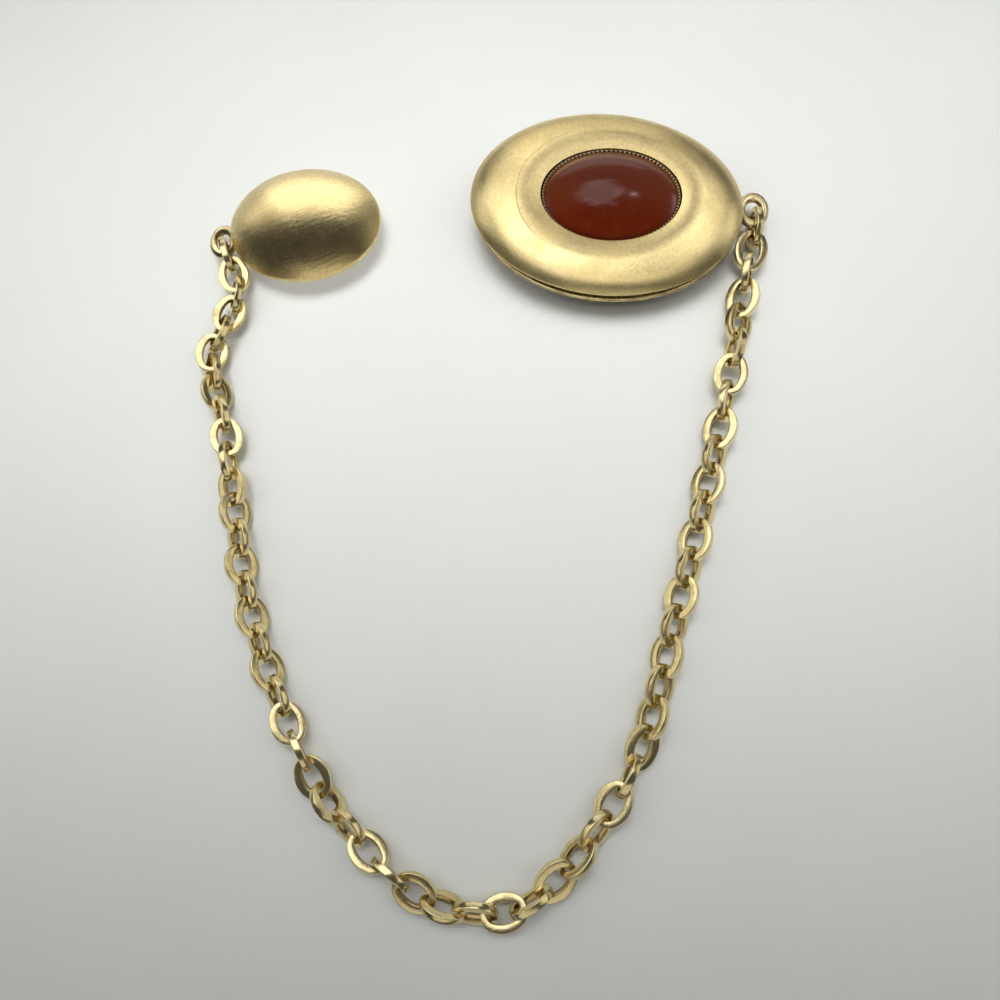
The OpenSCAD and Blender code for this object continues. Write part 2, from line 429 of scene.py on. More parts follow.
@dataclass(frozen=True)
class Carnelian:
    """Deep red-brown polished stone with cloudy depth, faint bands and a painted sheen that lightens it
    towards the far side.
    """

    name: str = "carnelian"
    centre: Spot = STONE_AT
    deep: Colour = (0.3, 0.032, 0.002)
    painted_far_sheen: Colour = (0.33, 0.095, 0.05)
    band: Colour = (0.38, 0.08, 0.015)

    def material(self) -> Material:
        """Builds the material.

        Returns:
            The material.
        """
        sheet = Sheet(self.name)
        here = sheet.turned(self.centre, -8.0)
        clouds = sheet.group(GROUPS.clouds(), here, Scale=0.12, Low=0.35, High=0.7)
        streaks = sheet.group(GROUPS.brushing(), sheet.turned(self.centre, 82.0), Scale=0.5, Length=6.0)
        apart = sheet.add("SeparateXYZ", {0: here})
        # Painted sheen: the stone turns lighter and pinker towards its far side.
        colour = sheet.blend(sheet.ranged(apart.outputs["Y"], -5.0, 5.0, 0.0, 1.0), self.deep, self.painted_far_sheen)
        colour = sheet.blend(sheet.ranged(streaks, 0.5, 0.75, 0.0, 0.5), colour, self.band)
        colour = sheet.blend(sheet.maths("MULTIPLY", clouds, 0.3), colour, self.band)
        rough = sheet.ranged(clouds, 0.0, 1.0, 0.16, 0.24)
        sheet.feed(sheet.shader, {"Base Color": colour, "Roughness": rough, "IOR": 1.5})
        sheet.bumps((clouds, 0.001))
        return sheet.material


def as_piece(bm: BMesh, name: str, material: Material,
             sharp: float = 40.0) -> Object:
    """Makes an object of a mesh that was shaped in millimetres.

    Args:
        bm: The mesh, which is freed.
        name: The piece's name.
        material: Its finish.
        sharp: Edges that turn by more than this stay sharp, in degrees.

    Returns:
        The object, at the origin.
    """
    bmesh.ops.scale(bm, vec=(MM, MM, MM), verts=bm.verts)
    for face in bm.faces:
        face.smooth = True
    for edge in bm.edges:
        edge.smooth = not edge.is_manifold or edge.calc_face_angle(0.0) < math.radians(sharp)
    mesh = bpy.data.meshes.new(name)
    bm.to_mesh(mesh)
    bm.free()
    mesh.materials.append(material)
    piece = bpy.data.objects.new(name, mesh)
    bpy.context.scene.collection.objects.link(piece)
    return piece


def hand_over(piece: Object, node: str) -> None:
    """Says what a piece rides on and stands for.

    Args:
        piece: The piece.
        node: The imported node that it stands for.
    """
    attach(piece, "root")
    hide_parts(node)
    LOG.info("%s stands for %s with %d faces", piece.name, node, len(piece.data.polygons))


def lathe(profile: Sequence[Spot], steps: int) -> BMesh:
    """Turns a section about Z.

    Args:
        profile: Radius and height of each point, in millimetres, closed if its ends meet.
        steps: Steps in the full turn.

    Returns:
        The turned mesh, with its doubles merged and its faces outwards.
    """
    bm = bmesh.new()
    points = [bm.verts.new((r, 0.0, z)) for r, z in profile]
    for first, second in zip(points, points[1:]):
        bm.edges.new((first, second))
    bmesh.ops.spin(bm, geom=bm.verts[:] + bm.edges[:], cent=(0, 0, 0), axis=(0, 0, 1), dvec=(0, 0, 0),
                   angle=FULL_TURN, steps=steps, use_merge=True, use_normal_flip=False,
                   use_duplicate=False)
    bmesh.ops.remove_doubles(bm, verts=bm.verts, dist=1e-4)
    bmesh.ops.dissolve_degenerate(bm, edges=bm.edges, dist=1e-5)
    bmesh.ops.recalc_face_normals(bm, faces=bm.faces)
    return bm


def arc(centre: Spot, radius: float, start: float, end: float, steps: int) -> list[Spot]:
    """Points along an arc, its angles in degrees from the vertical towards +X.

    Args:
        centre: The arc's middle.
        radius: Its radius.
        start: The first angle.
        end: The last angle.
        steps: Steps between them.

    Returns:
        The points.
    """
    turns = [math.radians(start + (end - start) * i / steps) for i in range(steps + 1)]
    return [(centre[0] + radius * math.sin(t), centre[1] + radius * math.cos(t)) for t in turns]


def frame_at(x: float, y: float, degrees: float, stretch: float) -> Matrix:
    """A frame that stretches along its own X, turns and moves.

    Args:
        x: Where its middle lies.
        y: Where its middle lies.
        degrees: Its turn.
        stretch: How much it is stretched along its own X.

    Returns:
        The frame's matrix.
    """
    turn = Matrix.Rotation(math.radians(degrees), 4, "Z")
    return Matrix.Translation((x, y, 0)) @ turn @ Matrix.Diagonal((stretch, 1, 1, 1))


def smooth_copy(node: Object, edge_round: float) -> BMesh:
    """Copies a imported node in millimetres, merges it and rounds its sharp edges.

    Args:
        node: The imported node.
        edge_round: Width of the rounding, in millimetres.

    Returns:
        The mesh.
    """
    bm = bmesh.new()
    bm.from_mesh(node.data)
    bmesh.ops.scale(bm, vec=(1 / MM,) * 3, verts=bm.verts)
    bmesh.ops.remove_doubles(bm, verts=bm.verts, dist=1e-4)
    bmesh.ops.dissolve_degenerate(bm, edges=bm.edges, dist=1e-5)
    crisp = [e for e in bm.edges if e.is_manifold and e.calc_face_angle(0.0) > math.radians(50)]
    bmesh.ops.bevel(bm, geom=crisp, offset=edge_round, segments=2, profile=0.5, affect="EDGES",
                    material=-1, clamp_overlap=True)
    return bm


@dataclass(frozen=True)
class Loop:
    """A level oval loop of round wire, and the stub that runs from it under its brooch.

    Args:
        at: Its middle, in millimetres.
        stub_turn: Which way the stub runs, in degrees from +X.
    """

    at: Place
    stub_turn: float
    wire: float = 1.45
    width: float = 5.5
    ratio: float = 1.26
    stub_l: float = 5.0

    def add(self, bm: BMesh) -> None:
        """Adds the loop to a mesh.

        Args:
            bm: The mesh, in millimetres.
        """
        ring_r = (self.width - self.wire) / 2
        ring = lathe(arc((ring_r, 0.0), self.wire / 2, 0.0, 360.0, 24), 64)
        bmesh.ops.transform(ring, matrix=Matrix.Diagonal((1, self.ratio, 1, 1)), verts=ring.verts)
        upright = Matrix.Rotation(math.radians(90), 4, "Y")
        turn = Matrix.Rotation(math.radians(self.stub_turn), 4, "Z")
        start = Matrix.Translation((ring_r + self.stub_l / 2, 0, 0))
        bmesh.ops.create_cone(ring, cap_ends=True, segments=24, radius1=self.wire / 2 - 0.15,
                              radius2=self.wire / 2 - 0.15, depth=self.stub_l, matrix=turn @ start @ upright)
        bmesh.ops.translate(ring, vec=self.at, verts=ring.verts)
        part = bpy.data.meshes.new("loop")
        ring.to_mesh(part)
        ring.free()
        bm.from_mesh(part)
        bpy.data.meshes.remove(part)


@dataclass
class LargeBrooch:
    """The large brooch: a hollow domed face, a toothed setting, the stone, the back and the pin.

    Sizes are in millimetres. Those of the face are in its own frame, before it is stretched along X.
    """

    nodes: dict[str, Object]
    satin: Material
    dark: Material
    stone: Material
    middle: Spot = LARGE_AT
    turn: float = -12.0
    stretch: float = 1.375
    half_width: float = 17.8
    dome_r: float = 43.0
    roll_r: float = 1.9
    roll_z: float = 6.4
    shoulder: float = 3.8
    edge_r: float = 0.3
    edge_turn: float = 52.0
    edge_end: float = 170.0
    tuck: tuple[Spot, ...] = ((0.7, 0.55), (1.2, 0.7))
    wall: float = 0.8
    stone_shift: float = 1.1
    stone_turn: float = 4.0
    stone_half: Spot = (12.45, 9.0)
    stone_rise: float = 4.6
    girdle_z: float = 8.3
    stone_base: float = 1.0
    cup_gap: float = 0.12
    cup_wall: float = 0.35
    cup_top: float = 8.45
    mouth: float = -0.05
    mouth_z: float = 9.3
    mouth_h: float = 0.12
    lip_slope: float = 0.21
    lip_soft: float = 0.8
    lip_w: float = 4.3
    teeth: int = 92
    tip_in: float = 0.46
    tip_rise: float = 0.66
    notch_in: float = 0.2
    notch_drop: float = 0.16
    around: int = 288
    back_z: float = 3.0
    plate_h: float = 0.8
    rim_inset: float = 0.3
    loop_at: Place = (50.2, 50.7, 3.4)

    def dome_height(self, radius: float) -> float:
        """Height of the outer face at a radius in the unstretched frame."""
        middle_z = self.roll_z - math.sqrt((self.dome_r - self.roll_r) ** 2 - self.roll_x ** 2)
        return middle_z + math.sqrt(self.dome_r ** 2 - radius ** 2)

    @property
    def roll_x(self) -> float:
        """Radius of the line round which the edge rolls."""
        return self.half_width - self.roll_r

    @property
    def face_frame(self) -> Matrix:
        """The stretched frame of the face."""
        return frame_at(*self.middle, self.turn, self.stretch)

    @property
    def stone_frame(self) -> Matrix:
        """The frame of the stone, not stretched."""
        face = frame_at(*self.middle, self.turn, 1.0)
        return face @ frame_at(self.stone_shift, 0.0, self.stone_turn, 1.0)

    def on_oval(self, spot: Vector, out: float) -> Vector:
        """Moves a point onto an oval round the stone.

        Args:
            spot: The point, in the face's unstretched frame.
            out: How far the oval lies outside the stone, in millimetres.

        Returns:
            The point on the oval, in the same frame and at the same height.
        """
        to_stone = self.stone_frame.inverted() @ self.face_frame
        half_l, half_w = self.stone_half[0] + out, self.stone_half[1] + out
        local = to_stone @ spot
        turn = math.atan2(local.y / half_w, local.x / half_l)
        moved = Vector((half_l * math.cos(turn), half_w * math.sin(turn), local.z))
        return to_stone.inverted() @ moved

    @staticmethod
    def next_ring(bm: BMesh, ring: set) -> set:
        """Extrudes a boundary ring.

        Args:
            bm: The mesh.
            ring: The edges of the ring.

        Returns:
            The edges of the new ring, which lies on the old one.
        """
        made = bmesh.ops.extrude_edge_only(bm, edges=list(ring))["geom"]
        fresh = {g for g in made if isinstance(g, bmesh.types.BMVert)}
        return {e for v in fresh for e in v.link_edges if all(end in fresh for end in e.verts)}

    def lip_height(self, spot: Vector, out: float) -> float:
        """Height of the face near the stone, where a sloping lip runs softly into the dome.

        Args:
            spot: The point, in the face's unstretched frame.
            out: How far it lies outside the mouth, in millimetres.

        Returns:
            The height, in millimetres.
        """
        dome, lip = self.dome_height(math.hypot(spot.x, spot.y)), self.mouth_z + self.lip_slope * out
        near = max(0.0, 1.0 - abs(dome - lip) / self.lip_soft)
        return min(dome, lip) - near * near * self.lip_soft / 4

    def face(self, lip_cuts: int = 24) -> None:
        """Builds the face ring by ring: mouth, sloping lip, dome, shoulder and turned edge.

        Args:
            lip_cuts: Rings on the lip.
        """
        bm = bmesh.new()
        circle = bmesh.ops.create_circle(bm, cap_ends=False, segments=self.around, radius=self.stone_half[1])
        for vert in circle["verts"]:
            vert.co = self.on_oval(vert.co, self.mouth)
            vert.co.z = self.lip_height(vert.co, 0.0) - self.mouth_h
        ring = set(bm.edges)
        for step in range(lip_cuts + 1):
            out = self.lip_w * step / lip_cuts
            ring = self.next_ring(bm, ring)
            for vert in {v for e in ring for v in e.verts}:
                vert.co = self.on_oval(vert.co, self.mouth + out)
                vert.co.z = self.lip_height(vert.co, out)
        self.dome(bm, ring)
        bmesh.ops.recalc_face_normals(bm, faces=bm.faces)
        if max(bm.faces, key=lambda f: f.calc_center_median().z).normal.z < 0:
            bmesh.ops.reverse_faces(bm, faces=bm.faces)
        bmesh.ops.transform(bm, matrix=self.face_frame, verts=bm.verts)
        bmesh.ops.solidify(bm, geom=bm.faces[:], thickness=self.wall)
        hand_over(as_piece(bm, "large_face", self.satin), "large_shell")

    def rim_section(self, cuts: int = 34, shoulder_cuts: int = 20, roll_cuts: int = 8) -> list[Spot]:
        """The outer part of the face's section, from the lip's crest to under the edge.

        Args:
            cuts: Rings on the dome.
            shoulder_cuts: Rings on the shoulder, where the dome bends down to the widest line.
            roll_cuts: Rings on the edge that turns in.

        Returns:
            For each ring, how much of the way out to the shoulder it lies, or its radius, and its height.
        """
        start = self.half_width - self.shoulder
        slope = Vector((1.0, -start / math.sqrt(self.dome_r ** 2 - start ** 2))).normalized()
        meet = Vector((start, self.dome_height(start)))
        edge = math.radians(self.edge_turn)
        edge_x = self.half_width - self.edge_r
        widest = Vector((edge_x + self.edge_r * math.sin(edge), self.roll_z + self.edge_r * math.cos(edge)))
        down = Vector((math.cos(edge), -math.sin(edge)))
        bend = interpolate_bezier(meet, meet + 0.55 * self.shoulder * slope, widest - 1.5 * down, widest,
                                  shoulder_cuts + 1)
        dome = [(i / cuts, 0.0) for i in range(1, cuts + 1)]
        roll = arc((edge_x, self.roll_z), self.edge_r, self.edge_turn, self.edge_end, roll_cuts)
        under = [(self.half_width - inwards, self.roll_z - down) for inwards, down in self.tuck]
        return dome + [(p.x, p.y) for p in bend[1:]] + roll[1:] + under

    def dome(self, bm: BMesh, ring: set) -> None:
        """Grows the dome out to its widest line and turns the edge in.

        Args:
            bm: The mesh.
            ring: The edges of the lip's crest.
        """
        start = self.half_width - self.shoulder
        done = 0.0
        for wide, height in self.rim_section():
            ring = self.next_ring(bm, ring)
            for vert in {v for e in ring for v in e.verts}:
                radius = math.hypot(vert.co.x, vert.co.y)
                wider = wide if height else radius + (start - radius) * (wide - done) / (1.0 - done)
                vert.co *= wider / radius
                vert.co.z = height or self.dome_height(wider)
            done = 0.0 if height else wide

    def setting(self) -> None:
        """Builds the thin cup, whose toothed edge is pressed down onto the stone."""
        half = self.stone_half[1]
        inner = half + self.cup_gap
        outer = inner + self.cup_wall
        floor = self.girdle_z - self.stone_base - self.cup_gap - self.cup_wall
        wall = half - 0.07
        tip_r, tip_z = half - self.tip_in, self.girdle_z + self.tip_rise
        profile = [(0.0, floor), (outer, floor), (outer, self.cup_top - 0.05), (outer - 0.05, self.cup_top),
                   (wall + 0.06, self.cup_top + 0.03), (wall, self.cup_top + 0.1), (wall, tip_z - 0.02),
                   (wall - 0.06, tip_z + 0.04), (wall - 0.16, tip_z + 0.03), (tip_r + 0.04, tip_z - 0.04),
                   (tip_r, tip_z - 0.1), (half - 0.3, self.girdle_z + 0.4), (half + 0.02, self.girdle_z),
                   (inner, self.girdle_z - 0.1), (inner, floor + self.cup_wall), (0.0, floor + self.cup_wall)]
        bm = lathe(profile, self.teeth * 8)
        # Painted shade: the "inner" layer darkens the whole cup, fully below the girdle and most in the
        # notches between the teeth.
        painted_shade_layer = bm.verts.layers.float.new("inner")
        for vert in bm.verts:
            radius = math.hypot(vert.co.x, vert.co.y)
            if vert.co.z < self.girdle_z + 0.3:
                vert[painted_shade_layer] = 1.0
                continue
            tooth = 0.5 + 0.5 * math.cos(self.teeth * math.atan2(vert.co.y, vert.co.x))
            notch = max(0.0, 1.0 - 1.6 * tooth)
            reach = min(1.0, max(0.0, (wall - 0.04 - radius) / (wall - 0.04 - tip_r)))
            wider = radius + self.notch_in * notch * reach
            vert.co.x *= wider / radius
            vert.co.y *= wider / radius
            vert.co.z -= self.notch_drop * notch * reach
            vert[painted_shade_layer] = 0.85 + 0.15 * notch * reach
        grow = (self.stone_half[0] + self.cup_gap + self.cup_wall) / outer
        bmesh.ops.transform(bm, matrix=self.stone_frame @ Matrix.Diagonal((grow, 1, 1, 1)), verts=bm.verts)
        hand_over(as_piece(bm, "toothed_setting", self.dark), "stone_cup")

    def cabochon(self) -> None:
        """Builds the stone: flat base, upright girdle with a soft edge, and the dome."""
        half = self.stone_half[1]
        radius = (half ** 2 + self.stone_rise ** 2) / (2 * self.stone_rise)
        top = self.girdle_z + self.stone_rise
        base = self.girdle_z - self.stone_base
        end = math.degrees(math.asin(half / radius))
        dome = arc((0.0, top - radius), radius, 0.0, end - 1.2, 44)
        profile = dome + [(half - 0.05, self.girdle_z + 0.02), (half, self.girdle_z - 0.12),
                          (half, base + 0.15), (half - 0.15, base), (0.0, base)]
        bm = lathe(profile, 192)
        grow = self.stone_half[0] / half
        bmesh.ops.transform(bm, matrix=self.stone_frame @ Matrix.Diagonal((grow, 1, 1, 1)), verts=bm.verts)
        hand_over(as_piece(bm, "cabochon", self.stone), "stone")

    def back(self) -> None:
        """Builds the back plate with its beaded rim, the hoop that holds the face, and the loop."""
        rim = self.half_width - self.rim_inset
        bead = self.plate_h / 2
        low, high = self.back_z, self.back_z + self.plate_h
        hoop_out, hoop_in, hoop_top = self.roll_x + 0.2, self.roll_x - 0.5, self.roll_z - 0.8
        rounding = arc((rim - bead, low + bead), bead, 180.0, 0.0, 14)
        profile = [(0.0, low), *rounding, (hoop_out, high), (hoop_out, hoop_top), (hoop_in, hoop_top),
                   (hoop_in, high), (0.0, high)]
        bm = lathe(profile, 256)
        ratio = (self.half_width * self.stretch - self.rim_inset) / rim
        bmesh.ops.transform(bm, matrix=frame_at(*self.middle, self.turn, ratio), verts=bm.verts)
        Loop(self.loop_at, 180.0 + self.turn).add(bm)
        hand_over(as_piece(bm, "large_back_plate", self.dark), "large_back")

    def build(self) -> None:
        """Builds the whole brooch."""
        self.face()
        self.setting()
        self.cabochon()
        self.back()
        piece = as_piece(smooth_copy(self.nodes["large_pin"], 0.12), "large_pin_fitting", self.dark)
        hand_over(piece, "large_pin")


@dataclass
class SmallBrooch:
    """The small brooch: a plain hollow dome, its back and its pin. Sizes are in millimetres."""

    nodes: dict[str, Object]
    satin: Material
    dark: Material
    middle: Spot = SMALL_AT
    stretch: float = 1.268
    half_width: float = 11.55
    dome_r: float = 14.0
    roll_r: float = 1.2
    roll_z: float = 4.2
    roll_end: float = 150.0
    wall: float = 0.8
    back_z: float = 3.0
    plate_h: float = 0.7
    corner: float = 0.12
    loop_at: Place = (-49.4, 50.7, 2.3)
    pad_l: float = 3.0
    pad_w: float = 2.4
    pad_from_loop: float = 4.5

    def face(self) -> None:
        """Builds the dome, whose edge turns in under it."""
        roll_x = self.half_width - self.roll_r
        middle_z = self.roll_z - math.sqrt((self.dome_r - self.roll_r) ** 2 - roll_x ** 2)
        meet = math.degrees(math.asin(roll_x / (self.dome_r - self.roll_r)))
        outside = arc((0.0, middle_z), self.dome_r, 0.0, meet, 60)
        outside += arc((roll_x, self.roll_z), self.roll_r, meet, self.roll_end, 14)[1:]
        inside = arc((roll_x, self.roll_z), self.roll_r - self.wall, self.roll_end, meet, 10)
        inside += arc((0.0, middle_z), self.dome_r - self.wall, meet, 0.0, 40)[1:]
        bm = lathe(outside + inside, 224)
        bmesh.ops.transform(bm, matrix=frame_at(*self.middle, 0.0, self.stretch), verts=bm.verts)
        hand_over(as_piece(bm, "small_face", self.satin), "small_shell")

    def back(self) -> None:
        """Builds the back plate, the loop, and the pad that carries the loop's stub."""
        low, high = self.back_z, self.back_z + self.plate_h
        rim = self.half_width - self.roll_r + 0.05
        soft = self.corner
        edge = arc((rim - soft, low + soft), soft, 180.0, 90.0, 3)
        edge += arc((rim - soft, high - soft), soft, 90.0, 0.0, 3)
        bm = lathe([(0.0, low), *edge, (0.0, high)], 224)
        bmesh.ops.transform(bm, matrix=frame_at(*self.middle, 0.0, self.stretch), verts=bm.verts)
        Loop(self.loop_at, 0.0).add(bm)
        pad_h = low + 0.2 - self.loop_at[2]
        pad = bmesh.ops.create_cube(bm, size=1.0)["verts"]
        bmesh.ops.scale(bm, vec=(self.pad_l, self.pad_w, pad_h), verts=pad)
        place = Vector(self.loop_at) + Vector((self.pad_from_loop + self.pad_l / 2, 0.0, pad_h / 2))
        bmesh.ops.translate(bm, vec=place, verts=pad)
        hand_over(as_piece(bm, "small_back_plate", self.dark), "small_back")

    def build(self) -> None:
        """Builds the whole brooch."""
        self.face()
        self.back()
        piece = as_piece(smooth_copy(self.nodes["small_pin"], 0.1), "small_pin_fitting", self.dark)
        hand_over(piece, "small_pin")


@dataclass
class Chain:
    """Oval links of flattened wire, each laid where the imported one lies. Sizes are in millimetres."""

    nodes: dict[str, Object]
    gold: Material
    length: float = 7.6
    width: float = 5.8
    band: float = 1.05
    thick: float = 1.15
    end_r: float = 2.0
    corner: float = 0.14
    side_swell: float = 0.34

    def section(self, bm: BMesh, place: Vector, out: float) -> list:
        """Adds the wire's section, upright, with rounded corners.

        Args:
            bm: The mesh, with the layers "across" and "inner", the latter marking painted shade.
            place: The middle of the section.
            out: Direction of its outer side, in radians.

        Returns:
            Its vertices and edges.
        """
        across, inner = bm.verts.layers.float["across"], bm.verts.layers.float["inner"]
        grid = bmesh.ops.create_grid(bm, x_segments=1, y_segments=1, size=0.5)["verts"]
        bmesh.ops.scale(bm, vec=(self.band, self.thick, 1), verts=grid)
        bmesh.ops.bevel(bm, geom=grid, offset=self.corner, segments=3, profile=0.5, affect="VERTICES",
                        material=-1)
        bmesh.ops.delete(bm, geom=[f for f in bm.faces], context="FACES_ONLY")
        verts = bm.verts[:]
        for vert in verts:
            vert[across] = vert.co.x
            # Painted shade: the inner side of the wire, facing into the link's hole, is marked to be
            # darkened.
            vert[inner] = 1.0 if vert.co.x < -0.4 * self.band else 0.0
        stand = Matrix(((1, 0, 0, 0), (0, 0, 1, 0), (0, 1, 0, 0), (0, 0, 0, 1)))
        move = Matrix.Translation(place) @ Matrix.Rotation(out, 4, "Z") @ stand
        bmesh.ops.transform(bm, matrix=move, verts=verts)
        return verts + bm.edges[:]

    def link(self) -> bpy.types.Mesh:
        """Bends one link out of four arcs that run into each other.

        Returns:
            The link's mesh, its length along X and its flat in XY.
        """
        half_l, half_w = (self.length - self.band) / 2, (self.width - self.band) / 2
        side_r = (half_l ** 2 + half_w ** 2 - 2 * half_l * self.end_r) / (2 * (half_w - self.end_r))
        end_x, side_y = half_l - self.end_r, side_r - half_w
        turn = math.atan2(side_y, end_x)
        bm = bmesh.new()
        bm.verts.layers.float.new("across")
        bm.verts.layers.float.new("inner")
        across = bm.verts.layers.float["across"]
        start = Vector((end_x + self.end_r * math.cos(-turn), self.end_r * math.sin(-turn), 0))
        geom = self.section(bm, start, -turn)
        bends = [((end_x, 0, 0), 2 * turn, 14), ((0, -side_y, 0), math.pi - 2 * turn, 10)]
        bends += [((-x, -y, 0), angle, steps) for (x, y, _), angle, steps in bends]
        for centre, angle, steps in bends:
            geom = bmesh.ops.spin(bm, geom=geom, cent=centre, axis=(0, 0, 1), dvec=(0, 0, 0), angle=angle,
                                  steps=steps, use_merge=False, use_normal_flip=False,
                                  use_duplicate=False)["geom_last"]
        bmesh.ops.remove_doubles(bm, verts=bm.verts, dist=1e-3)
        bmesh.ops.recalc_face_normals(bm, faces=bm.faces)
        for vert in bm.verts:
            side = min(1.0, abs(vert.co.y) / half_w)
            inwards = max(0.0, -vert[across]) / (self.band / 2)
            vert.co.y -= math.copysign(side * side * (3 - 2 * side) * self.side_swell * inwards, vert.co.y)
        mesh = bpy.data.meshes.new("one_link")
        bm.to_mesh(mesh)
        bm.free()
        return mesh

    def places(self, node: Object) -> list[Matrix]:
        """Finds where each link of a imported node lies, from its loose parts.

        Args:
            node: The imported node.

        Returns:
            For each link, the matrix that lays a link there.
        """
        bm = bmesh.new()
        bm.from_mesh(node.data)
        bmesh.ops.scale(bm, vec=(1 / MM,) * 3, verts=bm.verts)
        bmesh.ops.remove_doubles(bm, verts=bm.verts, dist=1e-4)
        bmesh.ops.triangulate(bm, faces=bm.faces)
        found, seen = [], set()
        for first in bm.verts:
            if first in seen:
                continue
            seen.add(first)
            queue, part = [first], {first}
            while queue:
                for edge in queue.pop().link_edges:
                    for vert in edge.verts:
                        if vert not in part:
                            part.add(vert)
                            queue.append(vert)
            seen |= part
            faces = {f for v in part for f in v.link_faces}
            found.append(self.lay([[tuple(v.co) for v in f.verts] for f in faces]))
        bm.free()
        return sorted(found, key=lambda m: (-m.translation.y, m.translation.x))

    @staticmethod
    def lay(triangles: Iterable) -> Matrix:
        """The frame of a link from its surface: its middle and its three axes by spread.

        Args:
            triangles: The corners of its triangles.

        Returns:
            The frame, X along the link and Z across its flat.
        """
        t = np.array(sorted(triangles), float)
        area = np.linalg.norm(np.cross(t[:, 1] - t[:, 0], t[:, 2] - t[:, 0]), axis=1) / 2
        middle = t.mean(1)
        centre = (middle * area[:, None]).sum(0) / area.sum()
        rel, mid = t - centre, middle - centre
        spread = np.einsum("f,fki,fkj->ij", area, rel, rel) + 9 * np.einsum("f,fi,fj->ij", area, mid, mid)
        _, axes = np.linalg.eigh(spread)
        along, over = axes[:, 2], axes[:, 0]
        along = along if along[1] < 0 else -along
        over = over if over[2] > 0 else -over
        side = np.cross(over, along)
        rows = [(*row, c) for row, c in zip(np.stack((along, side, over), 1).tolist(), centre.tolist())]
        return Matrix((*rows, (0, 0, 0, 1)))

    def build(self) -> None:
        """Builds the two halves of the chain."""
        one = self.link()
        for node, name in (("chain_left", "links_left"), ("chain_right", "links_right")):
            bm = bmesh.new()
            bm.verts.layers.float.new("across")
            bm.verts.layers.float.new("inner")
            places = self.places(self.nodes[node])
            for place in places:
                before = len(bm.verts)
                bm.from_mesh(one)
                bm.verts.ensure_lookup_table()
                bmesh.ops.transform(bm, matrix=place, verts=bm.verts[before:])
            piece = as_piece(bm, name, self.gold, 50.0)
            LOG.info("%s has %d links", name, len(places))
            hand_over(piece, node)


class Lit(Enum):
    """What a soft box shines on, by the names of the pieces."""

    TABLE = ("table",)
    SMALL = ("small_face", "small_back_plate", "small_pin_fitting")
    LARGE = ("large_face", "toothed_setting", "large_back_plate", "large_pin_fitting")
    STONE = ("cabochon",)
    CHAIN = ("links_left", "links_right")


# Tints of the soft boxes.
WARM: Colour = (1.0, 0.96, 0.88)
AMBER: Colour = (1.0, 0.94, 0.82)
CANDLE: Colour = (1.0, 0.95, 0.85)
ROSE: Colour = (1.0, 0.88, 0.9)
PALE_ROSE: Colour = (1.0, 0.92, 0.95)


@dataclass(frozen=True)
class SoftBox:
    """A soft box of the studio, set up for some of the pieces.

    Args:
        turn: Where it hangs round the table, in degrees from the far side towards +X.
        height: How high it hangs, in degrees above the table.
        size: Its width and height, in millimetres.
        bright: How bright its face looks.
        colour: Its colour.
        away: How far it is from what it points at, in millimetres.
        aim_y: Where on the table it points, in millimetres towards the brooches.
        spread: How wide it shines, in degrees.
        passes: The pieces that it throws no shadow of.
    """

    turn: float
    height: float
    size: tuple[float, float]
    bright: float
    colour: Colour = (1.0, 1.0, 1.0)
    away: float = 420.0
    aim_y: float = 20.0
    spread: float = 180.0
    passes: Lit | None = None

    def hang(self, lit: Lit) -> None:
        """Adds the light to the scene.

        Args:
            lit: The pieces that it shines on.
        """
        turn, height = math.radians(self.turn), math.radians(self.height)
        out = Vector((math.cos(height) * math.sin(turn), math.cos(height) * math.cos(turn), math.sin(height)))
        lamp = bpy.data.lights.new(f"softbox_{lit.name.lower()}", "AREA")
        lamp.shape = "ELLIPSE" if lit is Lit.STONE else "RECTANGLE"
        lamp.size, lamp.size_y = self.size[0] * MM, self.size[1] * MM
        lamp.energy = self.bright * math.pi * lamp.size * lamp.size_y
        lamp.color = self.colour
        lamp.spread = math.radians(self.spread)
        rig = bpy.data.objects.new(lamp.name, lamp)
        rig.location = (Vector((0, self.aim_y, 0)) + self.away * out) * MM
        rig.rotation_euler = (-out).to_track_quat("-Z", "Y").to_euler()
        bpy.context.scene.collection.objects.link(rig)
        wanted = bpy.data.collections.new(f"lit_{lit.name.lower()}")
        for name in lit.value:
            wanted.objects.link(bpy.data.objects[name])
        rig.light_linking.receiver_collection = wanted
        if self.passes is not None:
            blocks = bpy.data.collections.new(f"blocks_{lit.name.lower()}")
            for piece in bpy.context.scene.objects:
                if piece.type == "MESH" and piece.name not in self.passes.value:
                    blocks.objects.link(piece)
            rig.light_linking.blocker_collection = blocks


